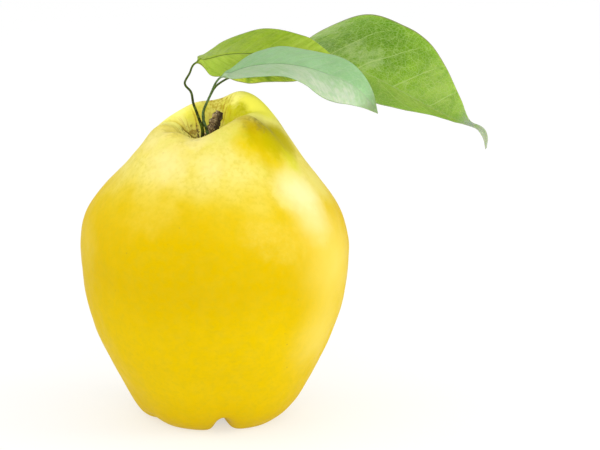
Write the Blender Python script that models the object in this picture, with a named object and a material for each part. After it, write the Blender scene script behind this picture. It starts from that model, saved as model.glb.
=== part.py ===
"""A quince as picked: the fruit, the woody stub of its stalk, three leaves and the dry calyx below.

+Z is up and the fruit stands on the lobes round its calyx. -Y is the side that faces the viewer.
Lengths are in millimetres until a vertex is written, where MM turns them into metres.
"""

import math

import bmesh
import bpy
from mathutils import Vector, noise

MM = 0.001

# ---- driving dimensions, in millimetres ----
FRUIT_WIDTH = 84.6
CROWN_HEIGHT = 96.6       # average height of the rim round the stem pit
STEM_SHIFT = -2.6         # the stem pit sits this far left of the fruit's middle
LEAF_THICKNESS = 0.5
PETIOLE_RADIUS = 0.4      # where the blade starts; the foot is nearly twice as thick
RIB_REACH = 0.8           # half width of the midrib on the underside
WAVES_ALONG = 15.0        # radians of margin wave from the blade's start to its tip
SEPAL_COUNT = 5
CLEARANCE = 0.3           # between pieces that touch in nature

# ---- mesh density: rings from pole to pole, and segments round ----
FRUIT_RINGS, FRUIT_SEGMENTS = 50, 48
LEAF_RINGS, LEAF_SEGMENTS = 46, 20
SEPAL_RINGS, SEPAL_SEGMENTS = 10, 12
FINE_STEPS, EVEN_STEPS = 800, 80      # samples of a leaf's path: to measure it, and to follow it

# Half outline of the fruit, from the floor of the stem pit over the rim and down to the calyx basin:
# (share of half the width, share of the crown's height).
SKIN_PROFILE = [
    (0.000, 0.890), (0.071, 0.893), (0.142, 0.917), (0.196, 0.954), (0.251, 0.987),
    (0.317, 1.000), (0.392, 0.992), (0.478, 0.965), (0.591, 0.909), (0.723, 0.836),
    (0.856, 0.762), (0.955, 0.687), (1.000, 0.602), (1.000, 0.516), (0.974, 0.418),
    (0.908, 0.313), (0.818, 0.215), (0.719, 0.128), (0.619, 0.058), (0.511, 0.016),
    (0.402, -0.006), (0.303, 0.000), (0.217, 0.033), (0.156, 0.070), (0.085, 0.091),
    (0.000, 0.095),
]
RIM_STATION, FOOT_STATION, BELLY_STATION = 5.0, 20.0, 12.5   # places in SKIN_PROFILE

# What makes this fruit uneven. Angles are in degrees: 0 is right, 90 away, -90 towards the viewer.
# Rises and dips round the stem pit: (angle, half spread, station, reach in stations, mm).
RIM_SWELLS = [
    (44, 32, 5.9, 2.6, 7.3), (26, 16, 6.9, 1.0, 0.9), (20, 9, 5.2, 1.6, -2.0), (-33, 29, 5.5, 2.2, 4.0),
    (-8, 12, 7.0, 2.0, -1.6), (100, 26, 4.8, 2.2, 2.8), (158, 24, 5.4, 2.2, -1.4), (-112, 28, 5.0, 2.0, -2.6),
    (210, 8, 4.2, 1.4, -2.6), (168, 22, 7.2, 1.8, -1.3),
]
# Grooves between the lobes that the fruit stands on: (angle, half spread, depth in mm).
FOOT_GROOVES = [(-82, 9, 5.0), (-12, 12, 1.6), (58, 10, 2.4), (131, 12, 1.8), (205, 11, 2.2)]
# Broad bulges of the flank: (angle, half spread, height in profile stations, spread in stations, mm).
FLANK_BULGES = [
    (180, 34, 11.2, 1.6, 0.5), (178, 40, 8.4, 1.8, -2.0), (8, 34, 7.2, 1.8, 1.6),
    (-118, 36, 12.8, 3.0, 0.8), (70, 40, 13.0, 3.0, 0.9), (-150, 26, 17.0, 1.6, -0.7),
    (20, 30, 17.4, 1.8, 0.5), (192, 30, 19.4, 1.4, 2.5),
]
LUMP_SIZE, LUMP_HEIGHT, LUMPS_START = 30.0, 0.7, 12.0     # no lumps nearer the axis than this

# A leaf's path runs from the foot of its petiole, up to the blade's start, along the midrib to the tip.
# "petiole" is the length of the petiole. Each list is spread evenly from the blade's start to its tip:
# "half_widths" in mm, "roll" is how far the blade turns to face the viewer and "fold" how far its two
# halves are lifted, in degrees. "curl" bends the margins down.
LEAVES = {
    "leaf_left": {
        "path": [(-4.4, -3.2, 87.2), (-3.7, -2.9, 93.7), (-5.4, -2.2, 99.4), (-6.7, -1.4, 102.8),
                 (-7.4, -0.6, 106.2), (-9.4, 0.5, 108.7), (-7.9, 2.8, 111.5), (-6.3, 5.5, 114.0),
                 (-1.3, 8.0, 115.1), (3.7, 10.5, 115.7), (10.5, 13.0, 115.4), (22.0, 15.0, 114.1),
                 (33.0, 16.5, 111.3), (41.3, 17.0, 109.1)],
        "petiole": 31.8,
        "half_widths": (0.7, 5.6, 7.2, 9.0, 10.9, 12.9, 14.3, 14.8, 14.6, 13.6, 11.9, 10.2, 8.9, 7.0,
                        5.1, 3.0, 0.2),
        "roll": (46, 27, 18, 23, 30, 35, 40), "fold": (-38, -24, -9, 2, 6, 12, 18),
        "curl": 0.003, "wave": 0.5, "twist_tip": 0,
    },
    "leaf_front": {
        "path": [(-1.9, -4.6, 88.0), (-2.2, -4.3, 93.7), (-3.5, -4.0, 98.2), (-3.5, -3.8, 100.8),
                 (-2.3, -3.6, 103.7), (-0.9, -3.4, 106.9), (0.3, -3.2, 109.6), (2.0, -3.0, 111.6),
                 (5.3, -3.2, 113.0), (9.3, -3.5, 114.7), (13.8, -3.6, 115.7), (19.9, -3.6, 116.1),
                 (25.1, -3.4, 115.6), (30.0, -3.2, 114.6), (35.1, -3.0, 112.8), (39.6, -2.6, 111.1),
                 (43.0, -2.2, 109.2), (46.1, -1.8, 106.7), (48.7, -1.4, 103.8), (51.7, -1.0, 99.4)],
        "petiole": 25.3, "half_widths": (0.7, 9.1, 12.8, 14.2, 14.4, 12.8, 9.5, 5.3, 0.2),
        "roll": (8, 6, 5, 11, 23, 33, 45), "fold": (-4, 4, 6, 2, -1, -4, -8),
        "curl": 0.003, "wave": 0.4, "twist_tip": 0,
    },
    "leaf_right": {
        "path": [(-4.7, -0.6, 86.8), (-4.0, -1.1, 93.4), (-3.5, -1.0, 97.4), (-3.5, -0.6, 100.0),
                 (-2.4, 0.2, 102.7), (-0.9, 1.4, 105.6), (0.6, 3.2, 107.4), (4.0, 8.5, 108.4),
                 (8.5, 14.0, 108.6), (14.0, 19.5, 108.8), (24.0, 26.0, 108.9), (36.0, 30.0, 107.9),
                 (46.8, 30.5, 105.2), (55.2, 30.5, 101.2), (64.0, 30.0, 96.4), (72.5, 29.0, 92.0),
                 (80.3, 28.0, 88.8), (84.4, 27.4, 87.4), (86.4, 27.0, 84.6), (86.6, 26.6, 80.6)],
        "petiole": 30.2,
        "half_widths": (0.7, 8.4, 12.0, 14.8, 16.8, 18.9, 23.0, 26.5, 26.6, 24.3, 22.3, 21.0, 18.6, 15.0,
                        11.0, 6.8, 1.6, 1.2, 0.15),
        "roll": (-5, -6, -1, 25, 33, 33, 41), "fold": (-4, -7, -6, 17, 32, 37, 25),
        "curl": 0.001, "wave": 0.5, "twist_tip": 60,
    },
}

# Tubes: points along the middle, and the radius at each. The stalk is the stub of the spur that carried
# the fruit and its leaves.
STALK = {
    "path": [(-2.0, 0.4, 87.4), (-1.5, 0.8, 90.2), (-0.7, 1.5, 93.2), (0.4, 2.4, 96.2), (1.7, 3.2, 98.9)],
    "radii": (2.35, 2.35, 2.25, 2.0, 1.6),
    "stations": 9,
}
STYLES = {
    "path": [(0.0, 0.0, -0.3), (0.1, 0.1, -2.5), (0.3, 0.0, -4.9)],
    "radii": (1.2, 0.9, 0.6),
    "stations": 6,
}
# A sepal points out from the fruit's axis, and its path starts at the floor of the basin.
SEPAL = {
    "path": [(2.2, 0.0, -0.7), (4.0, 0.0, -1.5), (5.6, 0.0, -2.9), (6.6, 0.0, -4.8), (6.5, 0.0, -6.8)],
    "petiole": 0.0, "half_widths": (0.8, 2.0, 2.5, 1.8, 0.1), "roll": (0, 0), "fold": (10, 26),
    "curl": 0.0, "wave": 0.15, "twist_tip": 0, "side": (0.0, 1.0, 0.0), "rib": 0.2, "thickness": 0.45,
}
FIRST_SEPAL_ANGLE = -62

# Viewport colours of the construction model: (red, green, blue), roughness.
FINISHES = {
    "skin": ((0.80, 0.55, 0.02), 0.40),
    "bark": ((0.09, 0.06, 0.03), 0.85),
    "leaf_left": ((0.36, 0.50, 0.07), 0.50),
    "leaf_front": ((0.34, 0.55, 0.30), 0.50),
    "leaf_right": ((0.22, 0.40, 0.06), 0.45),
    "dry_sepal": ((0.16, 0.09, 0.04), 0.90),
    "dry_styles": ((0.10, 0.06, 0.03), 0.90),
}


# ---------------------------------------------------------------- curves and falloffs

def through(points, place):
    """Point at place, from 0 to 1, on a smooth curve through evenly spaced points."""
    last = len(points) - 1
    span = min(max(place, 0.0), 1.0) * last
    i = min(int(span), last - 1)
    f = span - i
    p1, p2 = Vector(points[i]), Vector(points[i + 1])
    p0 = Vector(points[i - 1]) if i > 0 else 2 * p1 - p2
    p3 = Vector(points[i + 2]) if i + 2 <= last else 2 * p2 - p1
    return 0.5 * (2 * p1 + (p2 - p0) * f + (2 * p0 - 5 * p1 + 4 * p2 - p3) * f * f
                  + (3 * p1 - 3 * p2 + p3 - p0) * f ** 3)


def hill(distance, spread):
    return math.exp(-(distance / spread) ** 2)


def turn_between(angle, centre):
    """Smallest turn in degrees between two compass angles."""
    return (angle - centre + 180) % 360 - 180


def ease(low, high, value):
    f = min(max((value - low) / (high - low), 0.0), 1.0)
    return f * f * (3 - 2 * f)


# ---------------------------------------------------------------- fruit

def fruit_point(polar, angle):
    """Place on the skin. polar runs from 0 in the stem pit to pi in the calyx basin, angle is in degrees."""
    share = polar / math.pi
    station = share * (len(SKIN_PROFILE) - 1)
    radius_share, height_share = through(SKIN_PROFILE, share)
    radius = max(radius_share, 0.0) * FRUIT_WIDTH / 2
    height = height_share * CROWN_HEIGHT

    for centre, spread, at, reach, rise in RIM_SWELLS:
        height += rise * hill(station - at, reach) * hill(turn_between(angle, centre), spread)
    near_foot = hill(station - FOOT_STATION, 1.5)
    above_foot = hill(station - FOOT_STATION + 2.5, 2.6)
    for centre, spread, depth in FOOT_GROOVES:
        turn = turn_between(angle, centre)
        height += depth * near_foot * hill(turn, spread)
        radius -= 0.5 * depth * above_foot * hill(turn, 2.2 * spread)
    for centre, spread, at, reach, bulge in FLANK_BULGES:
        radius += bulge * hill(station - at, reach) * hill(turn_between(angle, centre), spread)

    a = math.radians(angle)
    shift = STEM_SHIFT * ease(BELLY_STATION, RIM_STATION, station)
    outwards = Vector((math.cos(a), math.sin(a), 0))
    place = outwards * radius + Vector((shift, 0, height))
    place += outwards * noise.noise(place / LUMP_SIZE) * LUMP_HEIGHT * ease(0.0, LUMPS_START, radius)
    place.z = max(place.z, 0.0)     # the lobes are flattened where they carry the fruit
    return place


def add_fruit():
    bm = bmesh.new()
    bmesh.ops.create_uvsphere(bm, u_segments=FRUIT_SEGMENTS, v_segments=FRUIT_RINGS, radius=1.0)
    for vertex in bm.verts:
        polar = math.acos(max(-1.0, min(1.0, vertex.co.z)))
        angle = math.degrees(math.atan2(vertex.co.y, vertex.co.x))
        vertex.co = fruit_point(polar, angle) * MM
    return add_piece("fruit", bm, "skin")


# ---------------------------------------------------------------- leaves and sepals

def even_path(points):
    """The smooth curve through unevenly spaced points as evenly spaced ones, with the curve's length."""
    fine = [through(points, i / FINE_STEPS) for i in range(FINE_STEPS + 1)]
    travelled = [0.0]
    for here, there in zip(fine, fine[1:]):
        travelled.append(travelled[-1] + (there - here).length)
    even = []
    i = 0
    for k in range(EVEN_STEPS + 1):
        goal = travelled[-1] * k / EVEN_STEPS
        while i < FINE_STEPS - 1 and travelled[i + 1] < goal:
            i += 1
        f = (goal - travelled[i]) / (travelled[i + 1] - travelled[i])
        even.append(fine[i].lerp(fine[i + 1], min(max(f, 0.0), 1.0)))
    return even, travelled[-1]


def blend(values, place):
    """Value at place, from 0 to 1, of evenly spread values, eased between them."""
    return through([(value, 0, 0) for value in values], place).x


def frame_along(path, place, side):
    """Point, sideways and upward directions at a place on a path."""
    step = 0.012
    ahead = through(path, min(place + step, 1.0)) - through(path, max(place - step, 0.0))
    up = Vector(side).cross(ahead).normalized()
    return through(path, place), ahead.normalized().cross(up), up


def blade_point(leaf, path, length, polar, turn):
    """Place on a leaf. polar runs from the petiole's foot to the tip, turn goes once round the section."""
    place = polar / math.pi
    petiole = leaf["petiole"] / length
    along = max(0.0, (place - petiole) / (1 - petiole))
    point, across, up = frame_along(path, place, leaf.get("side", (0.0, -1.0, 0.0)))
    roll = math.radians(blend(leaf["roll"], along) * ease(-0.25, 0.1, place - petiole)
                        + leaf["twist_tip"] * ease(0.86, 1.0, along))
    across, up = across * math.cos(roll) - up * math.sin(roll), up * math.cos(roll) + across * math.sin(roll)
    fold = math.radians(blend(leaf["fold"], along))

    even = 1 - 2 * abs(turn) / math.pi            # 1 to -1 across, and back underneath
    out = math.copysign(abs(even) ** 1.5, even)   # closer together at the midrib
    on_blade = ease(0.0, 0.06, along) if petiole > 0 else 1.0
    rounded = min(1.0, 12 * place) if petiole > 0 else 1.0
    swollen = 1 + 0.8 * max(0.0, 1 - place / petiole) ** 1.5 if petiole > 0 else 1.0
    stem = leaf.get("rib", PETIOLE_RADIUS) * swollen * rounded
    half = stem * (1 - on_blade) + blend(leaf["half_widths"], along) * on_blade
    reach = half * abs(out)

    thickness = leaf.get("thickness", LEAF_THICKNESS)
    rib = stem * (1 - 0.8 * along) * hill(reach, RIB_REACH)
    plate = 0.5 * thickness * math.sqrt(max(0.0, 1 - out ** 6)) * min(1.0, 5 * (1 - along) + 0.1)
    round_stem = half * math.sqrt(max(0.0, 1 - out * out))
    above = turn > 0
    stem_side = round_stem if above else -round_stem
    blade_side = plate if above else -plate - rib * math.sqrt(max(0.0, 1 - out ** 6))
    lift = stem_side * (1 - on_blade) + blade_side * on_blade

    wave = leaf["wave"] * math.sin(along * WAVES_ALONG + (0.8 if out > 0 else 2.6)) * out * out
    crease = math.sqrt(reach * reach + 0.5) - 0.7
    rise = (math.sin(fold) * crease - leaf["curl"] * reach * reach + wave) * on_blade
    spread = reach * (1 - on_blade + math.cos(fold) * on_blade)
    return point + across * math.copysign(spread, out) + up * (lift + rise)


def add_blade(name, leaf, rings, segments, finish):
    path, length = even_path(leaf["path"])
    bm = bmesh.new()
    bmesh.ops.create_uvsphere(bm, u_segments=segments, v_segments=rings, radius=1.0)
    for vertex in bm.verts:
        polar = math.acos(max(-1.0, min(1.0, vertex.co.z)))
        turn = math.atan2(vertex.co.y, vertex.co.x)
        vertex.co = blade_point(leaf, path, length, polar, turn) * MM
    return add_piece(name, bm, finish)


def add_calyx():
    """Dry sepals in the basin below, round the dry styles. None reaches down to what the fruit stands on."""
    basin = SKIN_PROFILE[-1][1] * CROWN_HEIGHT - CLEARANCE
    for i in range(SEPAL_COUNT):
        sepal = add_blade(f"sepal_{i + 1}", SEPAL, SEPAL_RINGS, SEPAL_SEGMENTS, "dry_sepal")
        sepal.location.z = basin * MM
        sepal.rotation_euler.z = math.radians(FIRST_SEPAL_ANGLE + i * 360 / SEPAL_COUNT)
    column = add_tube("style_column", STYLES, "dry_styles")
    column.location.z = basin * MM


# ---------------------------------------------------------------- tubes

def add_tube(name, tube, finish):
    """A closed tube on a smooth path, with a radius at each of the path's points."""
    curve = bpy.data.curves.new(name, "CURVE")
    curve.dimensions = "3D"
    curve.bevel_depth = MM
    curve.bevel_resolution = 3
    curve.use_fill_caps = True
    spline = curve.splines.new("POLY")
    spline.points.add(tube["stations"] - 1)
    for i, point in enumerate(spline.points):
        place = i / (tube["stations"] - 1)
        point.co = (*(through(tube["path"], place) * MM), 1.0)
        point.radius = blend(tube["radii"], place)
    return finished(bpy.data.objects.new(name, curve), finish)


# ---------------------------------------------------------------- scene

def material(finish):
    made = bpy.data.materials.get(finish)
    if made:
        return made
    colour, roughness = FINISHES[finish]
    made = bpy.data.materials.new(finish)
    made.use_nodes = True
    shader = made.node_tree.nodes["Principled BSDF"]
    shader.inputs["Base Color"].default_value = (*colour, 1)
    shader.inputs["Roughness"].default_value = roughness
    return made


def finished(obj, finish):
    obj.data.materials.append(material(finish))
    bpy.data.collections["quince"].objects.link(obj)
    obj.parent = bpy.data.objects["quince_root"]
    return obj


def add_piece(name, bm, finish):
    mesh = bpy.data.meshes.new(name)
    bm.to_mesh(mesh)
    bm.free()
    mesh.shade_smooth()
    return finished(bpy.data.objects.new(name, mesh), finish)


def start():
    for obj in list(bpy.data.objects):
        bpy.data.objects.remove(obj)
    collection = bpy.data.collections.new("quince")
    bpy.context.scene.collection.children.link(collection)
    collection.objects.link(bpy.data.objects.new("quince_root", None))


def centre_on_floor():
    """Moves the whole quince so that the middle of its bounding box stands over the origin."""
    bpy.context.view_layer.update()
    graph = bpy.context.evaluated_depsgraph_get()
    corners = []
    for obj in bpy.data.collections["quince"].objects:
        if obj.type != "EMPTY":
            mesh = obj.evaluated_get(graph).to_mesh()
            corners += [obj.matrix_world @ vertex.co for vertex in mesh.vertices]
    middle = [(max(c[i] for c in corners) + min(c[i] for c in corners)) / 2 for i in (0, 1)]
    bpy.data.objects["quince_root"].location = (-middle[0], -middle[1], 0)
    bpy.context.view_layer.update()


def main():
    start()
    add_fruit()
    add_tube("stalk", STALK, "bark")
    for name, leaf in LEAVES.items():
        add_blade(name, leaf, LEAF_RINGS, LEAF_SEGMENTS, name)
    add_calyx()
    centre_on_floor()


main()
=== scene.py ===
# A quince as picked, with three leaves and the stub of its spur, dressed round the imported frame.
# Lengths are in millimetres from the fruit's own axis until mm turns them into metres.
import itertools
import math

import bpy
import numpy as np
from mathutils import Matrix, Vector, noise


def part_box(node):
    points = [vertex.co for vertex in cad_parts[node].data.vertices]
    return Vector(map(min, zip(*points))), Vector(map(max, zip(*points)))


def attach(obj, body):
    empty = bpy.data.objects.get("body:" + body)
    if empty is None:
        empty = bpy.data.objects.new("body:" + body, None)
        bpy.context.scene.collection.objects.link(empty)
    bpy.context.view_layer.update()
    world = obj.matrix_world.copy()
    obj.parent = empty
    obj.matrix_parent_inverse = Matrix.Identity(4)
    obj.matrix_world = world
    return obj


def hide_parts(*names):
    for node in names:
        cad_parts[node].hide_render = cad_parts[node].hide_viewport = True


mm = 0.001
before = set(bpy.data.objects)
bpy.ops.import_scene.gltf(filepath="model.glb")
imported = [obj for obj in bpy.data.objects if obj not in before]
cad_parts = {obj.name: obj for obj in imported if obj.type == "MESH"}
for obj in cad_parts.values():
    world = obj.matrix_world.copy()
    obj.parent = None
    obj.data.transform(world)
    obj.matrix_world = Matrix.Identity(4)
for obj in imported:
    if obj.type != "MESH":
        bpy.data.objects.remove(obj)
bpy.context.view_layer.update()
print("frame:", len(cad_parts), "nodes")


# curves, falloffs and meshes; places, angles and points are numpy arrays

def splineThrough(points, places):
    # smooth curve through evenly spaced points, read at places from 0 to 1
    points = np.asarray(points, float)
    points = points[:, None] if points.ndim == 1 else points
    last = len(points) - 1
    span = np.clip(places, 0, 1) * last
    i = np.minimum(span.astype(int), last - 1)
    f = (span - i)[:, None]
    padded = np.vstack([2 * points[0] - points[1], points, 2 * points[-1] - points[-2]])
    p0, p1, p2, p3 = padded[i], padded[i + 1], padded[i + 2], padded[i + 3]
    return 0.5 * (2 * p1 + (p2 - p0) * f + (2 * p0 - 5 * p1 + 4 * p2 - p3) * f ** 2
                  + (3 * p1 - 3 * p2 + p3 - p0) * f ** 3)


def blend(values, places):
    return splineThrough(values, places)[:, 0]


def aheadOn(path, places, step):
    # which way a path runs, from a step before each place to a step after it
    return (splineThrough(path, np.minimum(places + step, 1))
            - splineThrough(path, np.maximum(places - step, 0)))


def evenPath(points):
    # the same curve as evenly spaced points, and its length
    fine = splineThrough(points, np.linspace(0, 1, 801))
    steps = np.linalg.norm(np.diff(fine, axis=0), axis=1)
    travelled = np.concatenate([[0], np.cumsum(steps)])
    goals = np.linspace(0, travelled[-1], 81)
    return np.stack([np.interp(goals, travelled, column) for column in fine.T], 1), travelled[-1]


def hill(distance, spread):
    return np.exp(-(distance / spread) ** 2)


def ease(low, high, value):
    f = np.clip((value - low) / (high - low), 0, 1)
    return f * f * (3 - 2 * f)


def turnBetween(angle, centre):
    return (angle - centre + 180) % 360 - 180


def unit(vectors):
    return vectors / np.maximum(np.linalg.norm(vectors, axis=1, keepdims=True), 1e-9)


def bumps(points, size, seed=1):
    # smooth seeded noise from about -1 to 1, with bumps about size across
    draw = np.random.default_rng(seed)
    order = draw.permutation(256)
    slopes = unit(draw.normal(size=(256, 3)))
    place = points / size
    cell = np.floor(place).astype(int)
    inside = place - cell
    near = inside ** 3 * (inside * (inside * 6 - 15) + 10)
    total = np.zeros(len(points))
    for corner in itertools.product((0, 1), repeat=3):
        x, y, z = (cell + corner).T
        pick = order[(order[(order[x & 255] + y) & 255] + z) & 255]
        weight = np.prod(np.where(corner, near, 1 - near), axis=1)
        total += weight * np.sum(slopes[pick] * (inside - corner), axis=1)
    return total * 1.8


def cadLumps(points, size):
    # the construction model's own noise, so that the fruit keeps its shape
    return np.array([noise.noise(Vector(point) / size) for point in points.tolist()])


def sphereMesh(name, shape):
    # a closed mesh of rings; each point has a place from pole to pole and a turn round
    rings, segments = shape["rings"], shape["segments"]
    j = np.arange(segments)
    after = (j + 1) % segments
    polar = np.concatenate([[0], np.repeat(np.arange(1, rings) / rings, segments), [1]])
    turn = np.concatenate([[0], np.tile(j * 2 * math.pi / segments, rings - 1), [0]])
    turn = np.where(turn > math.pi, turn - 2 * math.pi, turn)
    faces = [(0, 1 + a, 1 + b) for a, b in zip(j.tolist(), after.tolist())]
    for ring in range(rings - 2):
        upper, lower = 1 + ring * segments, 1 + (ring + 1) * segments
        faces += np.stack([lower + j, lower + after, upper + after, upper + j], 1).tolist()
    last, ring = 1 + (rings - 1) * segments, 1 + (rings - 2) * segments
    faces += [(last, ring + b, ring + a) for a, b in zip(j.tolist(), after.tolist())]
    mesh = bpy.data.meshes.new(name)
    mesh.from_pydata(np.zeros((len(polar), 3)).tolist(), [], faces)
    mesh.shade_smooth()
    return mesh, polar, turn


def addPiece(mesh, points, marks, node, material):
    # marks are numbers kept at each point, for the material
    mesh.vertices.foreach_set("co", (points * mm).ravel())
    mesh.update()
    for name, values in marks.items():
        made = mesh.attributes.new(name, "FLOAT", "POINT")
        made.data.foreach_set("value", values.astype(np.float32))
    mesh.transform(Matrix.Translation(fruitAxis))
    mesh.materials.append(material)
    piece = bpy.data.objects.new(mesh.name, mesh)
    bpy.context.scene.collection.objects.link(piece)
    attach(piece, "root")
    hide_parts(node)
    return piece


# node helpers

def addNode(tree, kind, values=None, **settings):
    # each value comes as a link from another node or as plain numbers
    made = tree.nodes.new(kind)
    for name, value in settings.items():
        setattr(made, name, value)
    for name, value in (values or {}).items():
        if isinstance(value, bpy.types.NodeSocket):
            tree.links.new(value, made.inputs[name])
        else:
            made.inputs[name].default_value = value
    return made


def calc(tree, operation, first, second=0, clamp=False):
    return addNode(tree, "ShaderNodeMath", {0: first, 1: second}, operation=operation,
                   use_clamp=clamp).outputs[0]


def times(tree, first, second):
    return calc(tree, "MULTIPLY", first, second)


def vectorCalc(tree, operation, first, second=(0, 0, 0), output="Vector"):
    return addNode(tree, "ShaderNodeVectorMath", {0: first, 1: second},
                   operation=operation).outputs[output]


def between(tree, value, low, high, start=0, end=1):
    # start at low and end at high, eased in between
    return addNode(tree, "ShaderNodeMapRange", {"Value": value, "From Min": low, "From Max": high,
                                                "To Min": start, "To Max": end},
                   interpolation_type="SMOOTHSTEP").outputs["Result"]


def tint(tree, factor, first, second):
    # the first colour where factor is 0 and the second where it is 1
    sides = {index: colour if isinstance(colour, bpy.types.NodeSocket) else (*colour, 1)
             for index, colour in ((6, first), (7, second))}
    return addNode(tree, "ShaderNodeMix", {0: factor, **sides}, data_type="RGBA").outputs[2]


def over(tree, colour, mask, amount, shade):
    return tint(tree, times(tree, mask, amount), colour, shade)


def flatPlace(tree, x, y):
    return addNode(tree, "ShaderNodeCombineXYZ", {"X": x, "Y": y}).outputs[0]


def roughNoise(tree, vector, scale, detail, roughness=0.5):
    return addNode(tree, "ShaderNodeTexNoise", {"Vector": vector, "Scale": scale, "Detail": detail,
                                                "Roughness": roughness}).outputs


def cellGaps(tree, vector, scale, width):
    # lines along the borders of scattered cells
    cells = addNode(tree, "ShaderNodeTexVoronoi", {"Vector": vector, "Scale": scale},
                    feature="DISTANCE_TO_EDGE")
    return between(tree, cells.outputs["Distance"], width, 0)


def objectPlace(tree):
    return addNode(tree, "ShaderNodeTexCoord").outputs["Object"]


def mark(tree, name):
    return addNode(tree, "ShaderNodeAttribute", attribute_name=name).outputs["Fac"]


def newGroup(name, inputs, outputs):
    # inputs are numbers by name, with None for a vector; all outputs are masks
    tree = bpy.data.node_groups.new(name, "ShaderNodeTree")
    for label, value in inputs.items():
        kind = "NodeSocketVector" if value is None else "NodeSocketFloat"
        socket = tree.interface.new_socket(label, in_out="INPUT", socket_type=kind)
        if value is not None:
            socket.default_value = value
    for label in outputs:
        tree.interface.new_socket(label, in_out="OUTPUT", socket_type="NodeSocketFloat")
    into, out = tree.nodes.new("NodeGroupInput"), tree.nodes.new("NodeGroupOutput")
    return tree, into.outputs, out.inputs


def useGroup(tree, group, **values):
    # the group's only output, or all of them when there are more
    made = addNode(tree, "ShaderNodeGroup", values, node_tree=group).outputs
    return made[0] if len(made) == 1 else made


def mottleGroup():
    # uneven cloudy patches; Size is in metres, and the mask rises from Low to High of the noise
    tree, into, out = newGroup("mottle", {"Vector": None, "Size": 0.01, "Detail": 3,
                                          "Low": 0.4, "High": 0.6}, ["Mask"])
    scale = calc(tree, "DIVIDE", 1, into["Size"])
    haze = roughNoise(tree, into["Vector"], scale, into["Detail"], 0.55)["Fac"]
    tree.links.new(between(tree, haze, into["Low"], into["High"]), out["Mask"])
    return tree


def specksGroup():
    # scattered dots; Size is the grid they are scattered over, Radius and Share are shares of it
    tree, into, out = newGroup("specks", {"Vector": None, "Size": 0.003, "Radius": 0.15,
                                          "Share": 0.5}, ["Mask"])
    scale = calc(tree, "DIVIDE", 1, into["Size"])
    cells = addNode(tree, "ShaderNodeTexVoronoi", {"Vector": into["Vector"], "Scale": scale})
    inner = times(tree, into["Radius"], 0.5)
    dot = between(tree, cells.outputs["Distance"], into["Radius"], inner)
    kind = addNode(tree, "ShaderNodeSeparateColor", {"Color": cells.outputs["Color"]}).outputs
    kept = calc(tree, "LESS_THAN", kind["Red"], into["Share"])
    faint = times(tree, kept, kind["Green"])
    tree.links.new(times(tree, dot, faint), out["Mask"])
    return tree


def patchGroup():
    # one ragged patch round Centre, full inside Core and gone at Reach; Grain breaks it up
    tree, into, out = newGroup("patch", {"Vector": None, "Centre": None, "Core": 0,
                                         "Reach": 0.01, "Ragged": 0.3, "Grain": 0}, ["Mask"])
    away = vectorCalc(tree, "DISTANCE", into["Vector"], into["Centre"], "Value")
    scale = calc(tree, "DIVIDE", 2.5, into["Reach"])
    edge = roughNoise(tree, into["Vector"], scale, 4)["Fac"]
    push = times(tree, calc(tree, "SUBTRACT", edge, 0.5), into["Ragged"])
    push = times(tree, times(tree, push, into["Reach"]), 3)
    mask = between(tree, calc(tree, "ADD", away, push), into["Reach"], into["Core"])
    fine = roughNoise(tree, into["Vector"], 900, 4, 0.6)["Fac"]
    gaps = times(tree, between(tree, fine, 0.38, 0.60), into["Grain"])
    tree.links.new(times(tree, mask, calc(tree, "SUBTRACT", 1, gaps)), out["Mask"])
    return tree


def streaksGroup():
    # streaks that run outwards from an upright axis through Centre
    tree, into, out = newGroup("streaks", {"Vector": None, "Centre": None, "Count": 8,
                                           "Low": 0.45, "High": 0.62}, ["Mask"])
    offset = vectorCalc(tree, "SUBTRACT", into["Vector"], into["Centre"])
    flat = vectorCalc(tree, "MULTIPLY", offset, (1, 1, 0))
    ring = addNode(tree, "ShaderNodeVectorMath", {"Scale": into["Count"],
                   0: vectorCalc(tree, "NORMALIZE", flat)}, operation="SCALE").outputs[0]
    outwards = vectorCalc(tree, "MULTIPLY", offset, (60, 60, 60))
    fan = roughNoise(tree, vectorCalc(tree, "ADD", ring, outwards), 1, 3, 0.6)["Fac"]
    tree.links.new(between(tree, fan, into["Low"], into["High"]), out["Mask"])
    return tree


def veinsGroup():
    # midrib, side veins and the net between them, from the marks on a leaf's mesh, in mm
    tree, into, out = newGroup(
        "leafVeins", {"Along": 0, "Across": 0, "Vein Place": 0, "Edge": 0, "Spacing": 8,
                      "Midrib Width": 0.6, "Vein Width": 0.35, "Net Size": 1.6},
        ["Midrib", "Side Veins", "Net"])
    off = calc(tree, "ABSOLUTE", into["Across"])
    tree.links.new(between(tree, off, into["Midrib Width"], 0), out["Midrib"])
    gap = calc(tree, "SUBTRACT", into["Vein Place"], calc(tree, "ROUND", into["Vein Place"]))
    gap = times(tree, calc(tree, "ABSOLUTE", gap), into["Spacing"])
    line = between(tree, gap, into["Vein Width"], 0)
    fade = between(tree, into["Edge"], 0.98, 0.55)
    tree.links.new(times(tree, line, fade), out["Side Veins"])
    flat = flatPlace(tree, into["Along"], into["Across"])
    warped = vectorCalc(tree, "ADD", flat, roughNoise(tree, flat, 0.6, 2)["Color"])
    scale = calc(tree, "DIVIDE", 1, into["Net Size"])
    coarse = cellGaps(tree, warped, times(tree, scale, 0.35), 0.035)
    fine = times(tree, cellGaps(tree, warped, scale, 0.10), 0.8)
    tree.links.new(calc(tree, "MAXIMUM", coarse, fine), out["Net"])
    return tree


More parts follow.
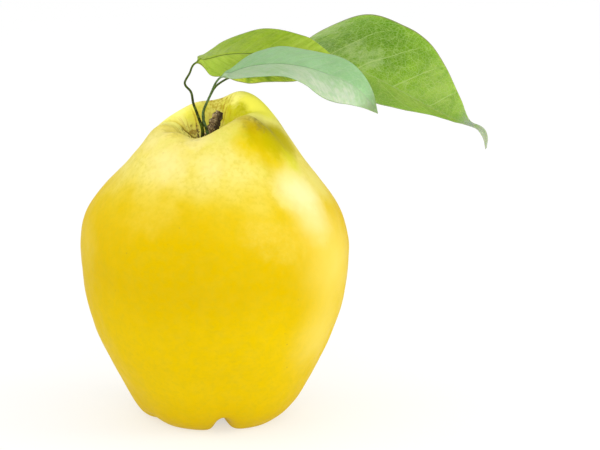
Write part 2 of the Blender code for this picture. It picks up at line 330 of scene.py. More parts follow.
def grainGroup():
    # dry flaky bark; the grain is finer than Size
    tree, into, out = newGroup("grain", {"Vector": None, "Size": 0.002}, ["Flakes", "Cracks"])
    scale = calc(tree, "DIVIDE", 1, into["Size"])
    rough = roughNoise(tree, into["Vector"], scale, 6, 0.7)
    tree.links.new(rough["Fac"], out["Flakes"])
    shift = vectorCalc(tree, "MULTIPLY", rough["Color"], (0.0006, 0.0006, 0.0006))
    warped = vectorCalc(tree, "ADD", into["Vector"], shift)
    tree.links.new(cellGaps(tree, warped, scale, 0.14), out["Cracks"])
    return tree


mottle = mottleGroup()
specks = specksGroup()
patch = patchGroup()
streaks = streaksGroup()
leafVeins = veinsGroup()
grain = grainGroup()


def cloud(tree, place, size, low, high, detail=3):
    return useGroup(tree, mottle, Vector=place, Size=size * mm, Detail=detail, Low=low, High=high)


def newMaterial(name, **plain):
    # plain are values that are the same all over, set on the shader's own sockets
    made = bpy.data.materials.new(name)
    made.use_nodes = True
    shader = made.node_tree.nodes["Principled BSDF"]
    for socket, value in plain.items():
        shader.inputs[socket.replace("_", " ")].default_value = value
    return made, made.node_tree, shader


def wireShader(tree, shader, colour, roughness, height, distance, amount):
    bump = addNode(tree, "ShaderNodeBump", {"Height": height, "Distance": distance,
                                            "Strength": amount}).outputs["Normal"]
    for value, socket in ((colour, "Base Color"), (roughness, "Roughness"), (bump, "Normal")):
        tree.links.new(value, shader.inputs[socket])


# the fruit

fruitShape = {
    "width": 84.6,
    "crown": 96.6,            # average height of the rim round the stem pit
    "stemShift": -2.6,        # the stem pit lies off the axis
    # half outline from the pit's floor over the rim and down to the calyx basin
    "outline": [
        (0, 0.89), (0.071, 0.893), (0.142, 0.917), (0.196, 0.954), (0.251, 0.987), (0.317, 1),
        (0.392, 0.992), (0.478, 0.965), (0.591, 0.909), (0.723, 0.836), (0.856, 0.762),
        (0.955, 0.687), (1, 0.602), (1, 0.516), (0.974, 0.418), (0.908, 0.313), (0.818, 0.215),
        (0.719, 0.128), (0.619, 0.058), (0.511, 0.016), (0.402, -0.006), (0.303, 0), (0.217, 0.033),
        (0.156, 0.07), (0.085, 0.091), (0, 0.095),
    ],
    "rim": 5, "belly": 12.5, "foot": 20,        # places along the outline
    # rises and dips round the pit: angle, spread, place, reach, mm
    "swells": [
        (44, 32, 5.9, 2.6, 7.3), (26, 16, 6.9, 1, 0.9), (20, 9, 5.2, 1.6, -2),
        (-33, 29, 5.5, 2.2, 4), (-8, 12, 7, 2, -1.6), (100, 26, 4.8, 2.2, 2.8),
        (158, 24, 5.4, 2.2, -1.4), (-112, 28, 5, 2, -2.6), (210, 8, 4.2, 1.4, -2.6),
        (168, 22, 7.2, 1.8, -1.3),
    ],
    # grooves between the lobes it stands on: angle, spread, depth
    "grooves": [(-82, 9, 5), (-12, 12, 1.6), (58, 10, 2.4), (131, 12, 1.8), (205, 11, 2.2)],
    "grooveReach": 1.5,
    # each groove runs on up the flank: how far above the foot, reach, share of depth, of spread
    "flankGrooves": (2.5, 2.6, 0.5, 2.2),
    # broad bulges of the flank: angle, spread, place, reach, mm
    "bulges": [
        (180, 34, 11.2, 1.6, 0.5), (178, 40, 8.4, 1.8, -2), (8, 34, 7.2, 1.8, 1.6),
        (-118, 36, 12.8, 3, 0.8), (70, 40, 13, 3, 0.9), (-150, 26, 17, 1.6, -0.7),
        (20, 30, 17.4, 1.8, 0.5), (192, 30, 19.4, 1.4, 2.5),
    ],
    "lumps": [(30, 0.7), (9, 0.16), (3.2, 0.035)],     # size and height
    "lumpsStart": 12, "lumpsAbove": 4,                 # they fade towards the axis and the foot
    # folds round the pit: height in mm, then how close, lean, place, reach
    "pitFolds": 0.45, "foldForm": (2.6, 0.12, 3.6, 1.8), "foldsStart": (0.5, 3),
    # creases: (place, angle) points along each, half width and depth in mm, how far colour shows
    "creases": [
        ([(2.2, 118), (2.6, 130), (3.2, 142), (4.4, 147), (5.2, 152)], 0.55, 0.6, 1),
        ([(2.2, 150), (3.2, 166), (4.2, 173)], 0.6, 0.4, 0.6),
        ([(2.3, 92), (3.3, 101), (4.5, 106)], 0.7, 0.3, 0.3),
        ([(2.2, -160), (3.2, -172), (4.4, -176)], 0.7, 0.35, 0.5),
        ([(4.8, -36), (5.9, -38), (7.1, -42), (8.4, -45)], 2.4, 0.8, 0.8),
        ([(4.3, 6), (5, -8), (5.7, -13)], 1.2, 0.45, 0.5),
    ],
    "creaseEnds": ((-0.5, 0.3), (0.7, -0.5)),       # they fade over these round their two ends
    "rings": 320, "segments": 280,
}


def addSwells(values, rows, place, angle):
    for centre, spread, at, reach, amount in rows:
        away = turnBetween(angle, centre)
        values = values + amount * hill(place - at, reach) * hill(away, spread)
    return values


def creaseDepths(shape, place, angle, radius, column):
    # how deep the creases are; column 2 gives millimetres, column 3 gives how far colour shows
    total = np.zeros_like(place)
    starts, stops = shape["creaseEnds"]
    for crease in shape["creases"]:
        at, turns = np.array(crease[0], float).T
        away = np.radians(turnBetween(angle, np.interp(place, at, turns))) * radius
        ends = (ease(at[0] + starts[0], at[0] + starts[1], place)
                * ease(at[-1] + stops[0], at[-1] + stops[1], place))
        total = np.maximum(total, crease[column] * hill(away, crease[1]) * ends)
    return total


def fruitPoints(shape, polar, turn):
    angle = np.degrees(turn)
    place = polar * (len(shape["outline"]) - 1)
    outline = splineThrough(shape["outline"], polar)
    radius = np.maximum(outline[:, 0], 0) * shape["width"] / 2
    height = addSwells(outline[:, 1] * shape["crown"], shape["swells"], place, angle)
    up, reach, cut, widen = shape["flankGrooves"]
    fromFoot = place - shape["foot"]
    for centre, spread, depth in shape["grooves"]:
        away = turnBetween(angle, centre)
        height += depth * hill(fromFoot, shape["grooveReach"]) * hill(away, spread)
        radius -= cut * depth * hill(fromFoot + up, reach) * hill(away, widen * spread)
    radius = addSwells(radius, shape["bulges"], place, angle)

    flat, none = np.stack([np.cos(turn), np.sin(turn)], 1), np.zeros_like(turn)
    outwards = np.column_stack([flat, none])
    shift = shape["stemShift"] * ease(shape["belly"], shape["rim"], place)
    points = outwards * radius[:, None] + np.stack([shift, none, height], 1)
    steady = ease(0, shape["lumpsStart"], radius)
    (size, rise), *fine = shape["lumps"]
    points += outwards * (cadLumps(points, size) * rise * steady)[:, None]
    points[:, 2] = np.maximum(points[:, 2], 0)

    # finer unevenness that the construction model leaves out: small lumps, folds and creases
    above = ease(0, shape["lumpsAbove"], points[:, 2])
    for size, rise in fine:
        points += outwards * (bumps(points, size) * rise * steady * above)[:, None]
    close, lean, at, reach = shape["foldForm"]
    fan = bumps(np.column_stack([flat * close, place * lean]), 1)
    points[:, 2] += (fan * shape["pitFolds"] * hill(place - at, reach)
                     * ease(*shape["foldsStart"], radius))
    points[:, 2] -= creaseDepths(shape, place, angle, radius, 2)
    return points


def skinPoint(angle, place):
    # where a place on the fruit's outline lies in the scene, in metres
    share = np.array([place / (len(fruitShape["outline"]) - 1)])
    return Vector(fruitPoints(fruitShape, share, np.radians([angle]))[0]) * mm + fruitAxis


skinLook = {
    "gold": (0.69, 0.48, 0.0004), "deepGold": (0.605, 0.405, 0.0003), "lemonAndSheen": (0.71, 0.625, 0.16),
    "pale": (0.96, 0.89, 0.23), "lime": (0.6, 0.56, 0.004), "paintedLight": (0.98, 0.9, 0.11),
    "frost": (0.8, 0.69, 0.3), "olive": (0.4, 0.37, 0.006), "green": (0.56, 0.56, 0.07),
    "honeyAndShade": (0.63, 0.47, 0.001), "mossAndShade": (0.45, 0.372, 0.001), "umber": (0.36, 0.25, 0.004),
    "amber": (0.56, 0.4, 0.002), "yellow": (0.64, 0.47, 0.01), "paintedRimSheen": (0.755, 0.59, 0.095),
    "blush": (0.7, 0.54, 0.07), "paintedHighlight": (0.8, 0.75, 0.43), "russet": (0.43, 0.22, 0.02),
    "cork": (0.12, 0.075, 0.035), "scuff": (0.25, 0.21, 0.06), "creaseShade": (0.12, 0.075, 0.015),
    "speck": (0.25, 0.17, 0.03), "dim": (0.48, 0.385, 0.012), "straw": (0.7, 0.56, 0.06),
    "roughness": (0.38, 0.52),
    "deepBands": [(15, 12.5, 0.9), (16.2, 18.5, 0.8)],      # deep gold: from, full at, amount
    "toneCloud": (30, 0.35, 0.7), "toneAmount": 0.25,
    "drift": (20, 0.2, 0.8, 2), "driftAmount": 1.3,       # how the upper zones wander
    "zones": [("yellow", 11.2, 8.8, 0.9), ("lemonAndSheen", 9.9, 7.8, 0.95)],
    "pitPaleAndPaintedLight": (5.2, 3.6, 0, 0.75),
    # cloudy tones: colour, size, low, high, detail, start of the crown, amounts below and on it
    "clouds": [
        ("blush", 4, 0.3, 0.8, 2, 11, 0.06, 0.06),
        ("straw", 7, 0.35, 0.7, 4, 11, 0, 0.45),
        ("dim", 1.3, 0.45, 0.75, 5, 11.5, 0.2, 0.26),
        ("dim", 2.6, 0.35, 0.65, 5, 11.5, 0.16, 0.16),
    ],
    "crownFull": 8.5,
    # how far the fine grain breaks up a colour's patches
    "grain": {"honeyAndShade": 0.1, "mossAndShade": 0.12, "umber": 0.45, "olive": 0.5, "scuff": 0.9, "lime": 0.2,
              "russet": 0.9, "blush": 0.3, "green": 0.4},
    # patches: colour, angle, place along the outline, core and reach in mm, ragged, amount
    "patches": [
        ("blush", -122, 9.7, 2, 13, 0.4, 0.35), ("blush", -66, 10.5, 1, 10, 0.4, 0.5),
        # the pale patches down the right flank are a painted sheen of the light on the right
        ("blush", -54, 11.2, 1, 9, 0.4, 0.4), ("paintedRimSheen", -34, 10.4, 0, 15, 0.1, 0.6),
        ("paintedRimSheen", -25, 12.4, 0, 24, 0.08, 0.85), ("paintedRimSheen", -32, 14.8, 0, 18, 0.1, 0.75),
        ("blush", 140, 11, 3, 20, 0.5, 0.4), ("blush", 60, 12, 3, 22, 0.5, 0.35),
        ("blush", -166, 12, 3, 16, 0.3, 0.4), ("deepGold", 100, 15, 6, 26, 0.4, 0.7),
        # honey and moss in the hollow right of the stem are olive skin, darkened further with
        # painted shade of the hollow
        ("lemonAndSheen", -30, 9.2, 4, 13, 0.3, 0.85), ("honeyAndShade", -51, 7.1, 2, 9, 0.15, 0.95),
        ("honeyAndShade", -38, 7.8, 2.5, 10, 0.2, 0.95), ("mossAndShade", -38, 6.9, 2.5, 7.5, 0.25, 0.95),
        ("mossAndShade", -26, 7.4, 3.5, 9, 0.2, 0.98), ("mossAndShade", -10, 7.4, 3.5, 9.5, 0.2, 0.98),
        ("umber", -30, 6.6, 1, 5, 0.5, 0.7), ("umber", -39, 6.3, 0.5, 4, 0.5, 0.55),
        # a painted highlight on the right shoulder, with a soft pale spread round it
        ("paintedHighlight", -38, 9.3, 0, 10, 0.12, 0.52), ("paintedHighlight", -25, 9.5, 0, 10, 0.12, 0.44),
        ("paintedHighlight", -33, 10.4, 0, 12, 0.12, 0.38), ("frost", -122, 7.9, 1, 11, 0.25, 0.5),
        ("frost", -98, 5.8, 1, 6, 0.3, 0.5), ("frost", -150, 6.9, 1, 8, 0.2, 0.45),
        # the pale patches on the hump and the left rim of the pit are paler skin lifted further
        # where the leaves shade it: painted light
        ("frost", -88, 7.9, 0, 7, 0.3, 0.35), ("pale", 40, 5.2, 6, 16, 0.2, 0.9),
        ("pale", 16, 6.4, 2, 9, 0.2, 0.7), ("pale", 135, 4.2, 3, 12, 0.2, 0.85),
        # the lemon patches at angles -30 and -6 are painted sheen round the highlight
        ("lemonAndSheen", -6, 9.5, 2, 10, 0.2, 0.7), ("lime", 34, 3.7, 1.5, 4.6, 0.25, 0.8),
        ("lime", 24, 4.7, 2, 4.6, 0.25, 0.95), ("lime", 43, 3.4, 1.5, 5, 0.25, 0.9),
        ("lime", 57, 4.1, 1, 4, 0.3, 0.6), ("lime", 20, 5.3, 0.5, 3.2, 0.25, 0.7),
        # the bright patches lift skin that the leaves and petioles shade: painted light
        ("olive", 26, 4.6, 0.5, 3.6, 0.3, 0.55), ("paintedLight", 20, 6.3, 2.5, 6.5, 0.2, 0.95),
        ("paintedLight", 29, 5.6, 1, 4.5, 0.2, 0.9), ("olive", 76, 4.3, 1.5, 7, 0.4, 0.7),
        ("paintedLight", 117, 3.7, 1, 4, 0.3, 0.65), ("mossAndShade", -11, 7.3, 3, 8, 0.2, 0.95),
        ("lime", -19, 8.3, 1, 6.5, 0.25, 0.75), ("lime", 110, 3.4, 2, 7, 0.3, 0.5),
        ("green", 158, 5.2, 1, 7, 0.5, 0.45), ("green", -62, 6, 1, 7, 0.4, 0.45),
        ("green", -85, 6.6, 1, 7, 0.5, 0.25), ("green", -135, 7, 1, 6, 0.6, 0.25),
        ("green", -50, 8.3, 0.5, 5, 0.5, 0.25), ("scuff", -34, 5.7, 0.2, 2, 0.7, 0.7),
        ("scuff", -26, 6.1, 0.2, 2.6, 0.8, 0.75), ("scuff", -17, 6.2, 0.3, 2.2, 0.8, 0.7),
        ("scuff", -30, 6.7, 0.2, 2.6, 0.8, 0.6), ("scuff", -14, 6.8, 0.2, 2.6, 0.8, 0.5),
        ("scuff", -44, 6.2, 0.2, 2, 0.7, 0.4), ("scuff", -140, 4.9, 0.6, 4.5, 0.8, 0.45),
        ("scuff", -105, 5.4, 0.4, 4, 0.9, 0.3), ("scuff", 172, 5.9, 0.4, 4, 0.9, 0.35),
        ("lemonAndSheen", 150, 10, 0, 16, 0.3, 0.6), ("gold", 126, 7.9, 0, 14, 0.3, 0.6),
        ("gold", 165, 7.8, 0, 11, 0.3, 0.45), ("lemonAndSheen", 98, 10.6, 0, 15, 0.3, 0.55),
        ("gold", 62, 8.2, 0, 10, 0.3, 0.4), ("lemonAndSheen", 40, 10.2, 0, 12, 0.3, 0.45),
        ("scuff", 128, 2.9, 0.3, 2.4, 0.8, 0.8), ("scuff", 146, 3.3, 0.2, 2.2, 0.8, 0.7),
        ("russet", 118, 2.8, 0.3, 2.4, 0.7, 0.6), ("scuff", 37, 4.93, 0.1, 0.5, 0.2, 0.8),
        ("scuff", -130, 7.5, 0.1, 0.45, 0.2, 0.8), ("russet", 76, 4.4, 1, 6, 0.5, 0.3),
        ("olive", -160, 6.6, 1, 6, 0.6, 0.25),
    ],
    "foldColour": 0.6, "creaseShadeFrom": (0.55, 1), "creaseShadeWithin": (4, 3), "crackAmount": 0.9,
    # streaks in the pit: count, low and high of the noise, amount
    "pitStreaks": (9, 0.50, 0.62, 0.75), "pitWall": (5.2, 3), "pitCloud": (8, 0.35, 0.6),
    "dashes": (30, 0.50, 0.60, 0.9), "dashesBy": (74, 4.5, 3, 7.5, 0.3, 0.8),
    "corkEdge": (2.1, 1.3, 0, 0.92), "corkCloud": (0.8, 0.4, 0.65, 4), "corkAmount": 0.9,
    "specks": {"Size": 4.2 * mm, "Radius": 0.085, "Share": 0.4}, "speckAmount": 0.4,
    "basinRusset": (21.4, 24, 0, 0.6),
    "glossCloud": (6, 0.3, 0.7), "pores": 700, "poreDepth": 0.0001, "poreAmount": 0.4,
}


def skinMaterial(look):
    material, tree, shader = newMaterial("quinceSkin", IOR=1.08, Specular_Tint=(1, 0.85, 0.1, 1))
    place, along = objectPlace(tree), mark(tree, "outlinePlace")

    def spotOn(angle, at, core, reach, ragged, broken):
        return useGroup(tree, patch, Vector=place, Centre=skinPoint(angle, at), Core=core * mm,
                        Reach=reach * mm, Ragged=ragged, Grain=broken)

    def fanOf(count, low, high):
        stem = Vector((fruitShape["stemShift"], 0, 0)) * mm + fruitAxis
        return useGroup(tree, streaks, Vector=place, Centre=stem, Count=count, Low=low, High=high)

    # ripe gold below, lemon over the crown, with cloudy changes of tone; the lemon is paler skin
    # and also a painted sheen of the light from above
    bands = [times(tree, between(tree, along, *band), amount)
             for *band, amount in look["deepBands"]]
    tone = times(tree, cloud(tree, place, *look["toneCloud"]), look["toneAmount"])
    tone = calc(tree, "ADD", calc(tree, "ADD", *bands), tone, clamp=True)
    colour = tint(tree, tone, look["gold"], look["deepGold"])
    drift = calc(tree, "SUBTRACT", cloud(tree, place, *look["drift"]), 0.5)
    drifted = calc(tree, "ADD", along, times(tree, drift, look["driftAmount"]))
    for kind, start, full, amount in look["zones"]:
        colour = tint(tree, between(tree, drifted, start, full, 0, amount), colour, look[kind])
    # the pit, its rim and the hump turn pale: paler skin, and painted light where the leaves shade
    # them
    colour = tint(tree, between(tree, along, *look["pitPaleAndPaintedLight"]), colour, look["pale"])
    for kind, size, low, high, detail, start, below, onCrown in look["clouds"]:
        amount = between(tree, along, start, look["crownFull"], below, onCrown)
        colour = over(tree, colour, cloud(tree, place, size, low, high, detail), amount, look[kind])

    for kind, *spot, amount in look["patches"]:
        mask = spotOn(*spot, look["grain"].get(kind, 0))
        colour = over(tree, colour, mask, amount, look[kind])
    folds = mark(tree, "creases")
    colour = over(tree, colour, folds, look["foldColour"], look["amber"])
    # the deepest creases in the pit go near black: painted shade
    deep = times(tree, between(tree, folds, *look["creaseShadeFrom"]),
                 between(tree, along, *look["creaseShadeWithin"]))
    colour = over(tree, colour, deep, look["crackAmount"], look["creaseShade"])

    # the pit: streaks run down its wall to the cork round the stalk, and dashes lie behind it
    *fan, amount = look["pitStreaks"]
    fan = fanOf(*fan)
    wall = times(tree, between(tree, along, *look["pitWall"]),
                 cloud(tree, place, *look["pitCloud"]))
    colour = over(tree, colour, fan, times(tree, wall, amount), look["russet"])
    *dashes, amount = look["dashes"]
    behind = spotOn(*look["dashesBy"])
    colour = over(tree, colour, fanOf(*dashes), times(tree, behind, amount), look["russet"])
    flaked = times(tree, cloud(tree, place, *look["corkCloud"]), look["corkAmount"])
    rough = calc(tree, "SUBTRACT", calc(tree, "ADD", along, times(tree, fan, -0.6)), flaked)
    colour = tint(tree, between(tree, rough, *look["corkEdge"]), colour, look["cork"])

    dots = useGroup(tree, specks, Vector=place, **look["specks"])
    colour = over(tree, colour, dots, look["speckAmount"], look["speck"])
    colour = tint(tree, between(tree, along, *look["basinRusset"]), colour, look["russet"])
    gloss = between(tree, cloud(tree, place, *look["glossCloud"]), 0, 1, *look["roughness"])
    pores = roughNoise(tree, place, look["pores"], 4)["Fac"]
    dimples = calc(tree, "ADD", pores, times(tree, dots, -0.6))
    wireShader(tree, shader, colour, gloss, dimples, look["poreDepth"], look["poreAmount"])
    return material


def addFruit():
    shape = fruitShape
    mesh, polar, turn = sphereMesh("fruit_skin", shape)
    points = fruitPoints(shape, polar, turn)
    place = polar * (len(shape["outline"]) - 1)
    radius = np.hypot(points[:, 0] - shape["stemShift"], points[:, 1])
    creases = creaseDepths(shape, place, np.degrees(turn), radius, 3)
    return addPiece(mesh, points, {"outlinePlace": place, "creases": creases}, "fruit",
                    skinMaterial(skinLook))


# leaves and sepals

leafShapes = {
    "leaf_left": {
        "path": [
            (-4.4, -3.2, 87.2), (-3.7, -2.9, 93.7), (-5.4, -2.2, 99.4), (-6.7, -1.4, 102.8),
            (-7.4, -0.6, 106.2), (-9.4, 0.5, 108.7), (-7.9, 2.8, 111.5), (-6.3, 5.5, 114),
            (-1.3, 8, 115.1), (3.7, 10.5, 115.7), (10.5, 13, 115.4), (22, 15, 114.1),
            (33, 16.5, 111.3), (41.3, 17, 109.1),
        ],
        "petiole": 31.8,
        "halfWidths": (
            0.7, 5.6, 7.2, 9, 10.9, 12.9, 14.3, 14.8, 14.6, 13.6, 11.9, 10.2, 8.9, 7, 5.1, 3, 0.2,
        ),
        "roll": (46, 27, 18, 23, 30, 35, 40), "fold": (-38, -24, -9, 2, 6, 12, 18),
        "curl": 0.003, "wave": 0.5, "veinSpacing": 6.5, "rings": 260, "segments": 176,
    },
    "leaf_front": {
        "path": [
            (-1.9, -4.6, 88), (-2.2, -4.3, 93.7), (-3.5, -4, 98.2), (-3.5, -3.8, 100.8),
            (-2.3, -3.6, 103.7), (-0.9, -3.4, 106.9), (0.3, -3.2, 109.6), (2, -3, 111.6),
            (5.3, -3.2, 113), (9.3, -3.5, 114.7), (13.8, -3.6, 115.7), (19.9, -3.6, 116.1),
            (25.1, -3.4, 115.6), (30, -3.2, 114.6), (35.1, -3, 112.8), (39.6, -2.6, 111.1),
            (43, -2.2, 109.2), (46.1, -1.8, 106.7), (48.7, -1.4, 103.8), (51.7, -1, 99.4),
        ],
        "petiole": 25.3, "halfWidths": (0.7, 9.1, 12.8, 14.2, 14.4, 12.8, 9.5, 5.3, 0.2),
        "roll": (8, 6, 5, 11, 23, 33, 45), "fold": (-4, 4, 6, 2, -1, -4, -8),
        "curl": 0.003, "wave": 0.4, "veinSpacing": 6.5, "rings": 260, "segments": 176,
    },
    "leaf_right": {
        "path": [
            (-4.7, -0.6, 86.8), (-4, -1.1, 93.4), (-3.5, -1, 97.4), (-3.5, -0.6, 100),
            (-2.4, 0.2, 102.7), (-0.9, 1.4, 105.6), (0.6, 3.2, 107.4), (4, 8.5, 108.4),
            (8.5, 14, 108.6), (14, 19.5, 108.8), (24, 26, 108.9), (36, 30, 107.9),
            (46.8, 30.5, 105.2), (55.2, 30.5, 101.2), (64, 30, 96.4), (72.5, 29, 92),
            (80.3, 28, 88.8), (84.4, 27.4, 87.4), (86.4, 27, 84.6), (86.6, 26.6, 80.6),
        ],
        "petiole": 30.2,
        "halfWidths": (
            0.7, 8.4, 12, 14.8, 16.8, 18.9, 23, 26.5, 26.6, 24.3, 22.3, 21, 18.6, 15, 11, 6.8, 1.6,
            1.2, 0.15,
        ),
        "roll": (-5, -6, -1, 25, 33, 33, 41), "fold": (-4, -7, -6, 17, 32, 37, 25),
        "curl": 0.001, "wave": 0.5, "tipTwist": 60, "veinSpacing": 13, "veinShift": -0.17,
        "rings": 320, "segments": 220,
    },
}
# what all blades share; a leaf's own settings come before these
bladeBuild = {
    "side": (0, -1, 0),     # across the petiole
    "thickness": 0.5,
    "stem": 0.32, "stemFlare": 0.8,           # petiole radius where the blade starts, and its foot
    "joint": 0.06,                            # share of the blade where the petiole turns into it
    "ribReach": 0.8, "ribTaper": 0.8,
    "tipTwist": 0, "twistFrom": 0.86, "rollFrom": (-0.25, 0.1),
    "wavesAlong": 15, "wavePhases": (0.8, 2.6),
    "veinShift": 0, "veinSlope": 0.75, "veinBend": 0.012,     # side veins lean towards the tip
    "veinWander": (16, 1.6), "veinWidth": 0.45, "midribWidth": 0.5,
    "midribGroove": 0.2, "veinGroove": 0.07, "veinRidge": 0.12, "quilting": 0.16,
    "crinkle": (5, 0.1),
    "step": 0.012,
}


def bladePoints(leaf, polar, turn):
    build = {**bladeBuild, **leaf}
    path, length = evenPath(build["path"])
    petiole = build["petiole"] / length
    along = np.maximum(0, (polar - petiole) / (1 - petiole))

    ahead = aheadOn(path, polar, build["step"])
    up = unit(np.cross(np.array(build["side"]), ahead))
    across = np.cross(unit(ahead), up)
    roll = np.radians(blend(build["roll"], along) * ease(*build["rollFrom"], polar - petiole)
                      + build["tipTwist"] * ease(build["twistFrom"], 1, along))[:, None]
    cos, sin = np.cos(roll), np.sin(roll)
    across, up = across * cos - up * sin, up * cos + across * sin
    fold = np.radians(blend(build["fold"], along))

    # from edge to edge and back on the underside, with the points crowded towards the midrib
    even = 1 - 2 * np.abs(turn) / math.pi
    out = np.sign(even) * np.abs(even) ** 1.5
    above = turn > 0
    onBlade, stem = np.ones_like(along), np.full_like(along, build["stem"])
    if petiole > 0:
        onBlade = ease(0, build["joint"], along)
        flare = build["stemFlare"] * np.maximum(0, 1 - polar / petiole) ** 1.5
        stem *= (1 + flare) * np.minimum(1, 12 * polar)
    half = stem * (1 - onBlade) + blend(build["halfWidths"], along) * onBlade
    reach = half * np.abs(out)

    rib = stem * (1 - build["ribTaper"] * along) * hill(reach, build["ribReach"])
    rounding = np.sqrt(np.maximum(0, 1 - out ** 6))
    plate = 0.5 * build["thickness"] * rounding * np.minimum(1, 5 * (1 - along) + 0.1)
    roundStem = half * np.sqrt(np.maximum(0, 1 - out * out))
    stemSide = np.where(above, roundStem, -roundStem)
    bladeSide = np.where(above, plate, -plate - rib * rounding)
    lift = stemSide * (1 - onBlade) + bladeSide * onBlade

    phase = np.where(out > 0, *build["wavePhases"])
    wave = build["wave"] * np.sin(along * build["wavesAlong"] + phase) * out * out
    crease = np.sqrt(reach * reach + 0.5) - 0.7
    rise = (np.sin(fold) * crease - build["curl"] * reach * reach + wave) * onBlade
    spread = reach * (1 - onBlade + np.cos(fold) * onBlade)

    # veins: a place of 0, 1, 2 ... lies on a side vein, and the two sides take turns
    past = polar * length - build["petiole"]
    toTip = length - build["petiole"] - past
    signed = reach * np.sign(out)
    flat = np.stack([past, signed, np.zeros_like(past)], 1)
    size, amount = build["veinWander"]
    veinPlace = (past + bumps(flat, size) * amount - build["veinSlope"] * reach
                 - build["veinBend"] * reach ** 2)
    veinPlace = (veinPlace / build["veinSpacing"] + np.where(out < 0, 0.5, 0)
                 + build["veinShift"])
    gap = np.abs(veinPlace - np.round(veinPlace))
    blade = ease(1, 8, past) * ease(0, 10, toTip) * onBlade
    fade = blade * ease(1, 0.7, np.abs(out)) * ease(0.2, 1.6, reach)
    vein = hill(gap * build["veinSpacing"], build["veinWidth"]) * fade
    groove = build["midribGroove"] * hill(reach, build["midribWidth"]) * blade
    rise += build["quilting"] * ((np.sin(gap * math.pi) ** 2 - 0.5) * fade)
    rise -= np.where(above, build["veinGroove"], build["veinRidge"]) * vein
    rise -= np.where(above, groove, 0)
    size, amount = build["crinkle"]
    rise += bumps(flat, size, 3) * amount * blade * np.abs(out)

    points = (splineThrough(path, polar) + across * (np.sign(out) * spread)[:, None]
              + up * (lift + rise)[:, None])
    marks = {"alongBlade": past, "acrossBlade": signed, "veinPlace": veinPlace,
             "edgeShare": np.abs(out), "underside": np.where(above, 0, 1)}
    return points, marks


leafLooks = {
    "leaf_left": {
        "gloss": 1.2, "roughness": (0.38, 0.55), "blade": (0.29, 0.425, 0.014),
        "shade": (0.165, 0.27, 0.006), "pale": (0.42, 0.54, 0.07), "near": (0.36, 0.48, 0.06),
        "vein": (0.47, 0.58, 0.1), "under": (0.38, 0.45, 0.11), "midrib": (0.06, 0.095, 0.008),
        "midribFar": (0.08, 0.12, 0.01), "edge": (0.2, 0.17, 0.06), "stem": (0.05, 0.07, 0.006),
        "foot": (0.024, 0.03, 0.003), "paintedLightStrip": (0.78, 0.86, 0.09), "nearAmount": 0.6,
        "veinAmount": 0.26, "netAmount": 0.14, "netSize": 1.1, "midribWidth": 0.42, "cloud": 0.45,
        "streaks": 0.5, "streakCount": 5, "blotches": 0.3,
        # patches in mm: colour, along and across the blade, core, reach, ragged, amount
        "patches": [
            ("pale", 7, 0, 2, 12, 0.4, 0.45), ("pale", 39, -5, 2, 11, 0.4, 0.6),
            # the strip patches lighten the margin that lies in leaf_front's shadow: painted light
            ("paintedLightStrip", 12, 11, 1, 4, 0.2, 0.8), ("paintedLightStrip", 19, 14, 2, 5, 0.2, 0.85),
            ("paintedLightStrip", 27, 13, 2, 5, 0.2, 0.85), ("paintedLightStrip", 35, 10, 2, 5, 0.2, 0.8),
        ],
    },
    "leaf_front": {
        "gloss": 1.26, "roughness": (0.42, 0.6), "blade": (0.275, 0.49, 0.22),
        "shade": (0.22, 0.405, 0.165), "pale": (0.41, 0.55, 0.33), "near": (0.44, 0.51, 0.34),
        "vein": (0.44, 0.56, 0.36), "under": (0.34, 0.44, 0.285), "midrib": (0.08, 0.14, 0.07),
        "midribFar": (0.3, 0.42, 0.25), "edge": (0.16, 0.25, 0.13), "stem": (0.055, 0.085, 0.012),
        "foot": (0.024, 0.034, 0.004), "silverSheen": (0.62, 0.6, 0.52), "end": (0.145, 0.2, 0.083),
        "endFrom": (47, 55), "nearAmount": 0.7, "veinAmount": 0.22, "netAmount": 0.12,
        "netSize": 1.1, "midribWidth": 0.36, "cloud": 0.55, "streaks": 0.42, "streakCount": 5,
        "blotches": 0.45,
        "patches": [
            # the silver patches on the near half are painted sheen over a paler margin
            ("shade", 41, -3.5, 3, 12, 0.3, 0.55), ("silverSheen", 26, 8.5, 2, 9, 0.6, 0.2),
            ("silverSheen", 35, 9, 2, 8, 0.7, 0.45), ("silverSheen", 43, 6.5, 2, 7, 0.7, 0.6),
        ],
    },
    "leaf_right": {
        "gloss": 1.24, "roughness": (0.3, 0.5), "blade": (0.22, 0.38, 0.02),
        "shade": (0.115, 0.252, 0.006), "pale": (0.32, 0.44, 0.085), "near": (0.225, 0.365, 0.035),
        "vein": (0.45, 0.55, 0.19), "under": (0.36, 0.44, 0.24), "midrib": (0.33, 0.43, 0.14),
        "midribFar": (0.3, 0.41, 0.11), "edge": (0.14, 0.12, 0.065), "stem": (0.06, 0.09, 0.01),
        "foot": (0.024, 0.03, 0.003), "hazy": (0.44, 0.53, 0.25), "dark": (0.075, 0.19, 0.004),
        "light": (0.35, 0.46, 0.09), "end": (0.31, 0.335, 0.28), "endFrom": (83, 89),
        "nearAmount": 0.45, "veinAmount": 0.6, "netAmount": 0.42, "netSize": 0.95,
        "midribWidth": 0.45, "cloud": 0.85, "streaks": 0.3, "streakCount": 7, "blotches": 0.75,
        "patches": [
            ("light", 74, -8, 3, 13, 0.5, 0.55), ("light", 80, -3, 2, 9, 0.4, 0.5),
            ("light", 66, 4, 2, 12, 0.5, 0.35), ("dark", 52, -18, 2, 13, 0.8, 0.42),
            ("dark", 57, -12, 2, 9, 0.8, 0.5), ("dark", 39, -13, 1, 8, 0.8, 0.7),
            ("hazy", 40, -24.5, 0.5, 5, 0.9, 0.55), ("hazy", 46, -8.5, 0.5, 5.5, 0.9, 0.42),
            ("hazy", 51, -5.5, 0.5, 6.5, 0.9, 0.42),
        ],
    },
}
